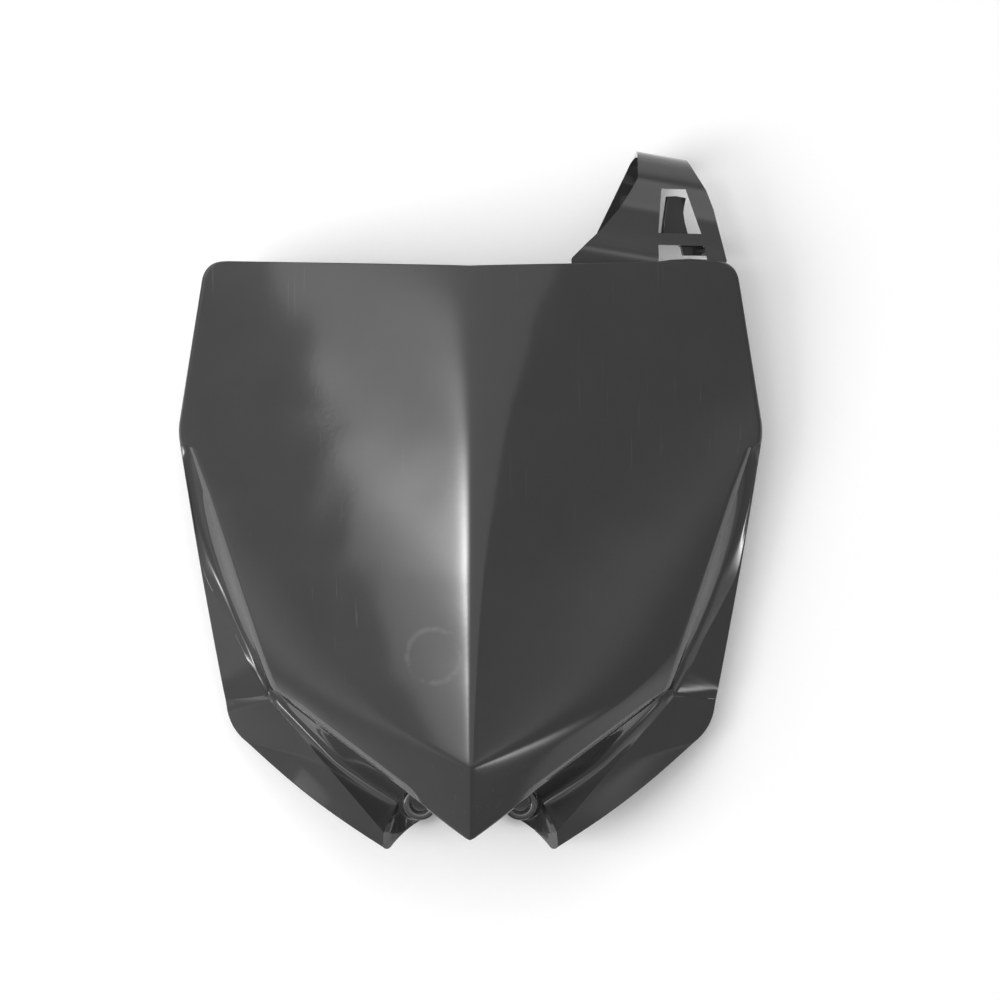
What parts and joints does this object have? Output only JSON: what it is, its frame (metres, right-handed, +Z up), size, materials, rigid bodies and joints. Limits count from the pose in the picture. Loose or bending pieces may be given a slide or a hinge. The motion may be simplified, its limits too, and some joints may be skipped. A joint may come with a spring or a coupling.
{
  "type": "motorcycle front number board",
  "caption": "Off-road motorcycle front number board: a glossy moulded shield with a ridged prow, stepped side wings, lower tusks, peg holes and a looped strap.",
  "frame": {"origin": "midway between the two peg holes, in the mid plane of the bridge plate behind the nose", "axes": "+X to the viewer's right, +Y backwards out of the face, +Z up along the ridge as the board hangs on the bike"},
  "size_m": [0.2474, 0.0669, 0.295],
  "materials": {
    "board_plastic": "glossy moulded polypropylene, dark grey, lightly scuffed"
  },
  "bodies": {
    "root": {"number_board": "board_plastic"}
  },
  "joints": []
}
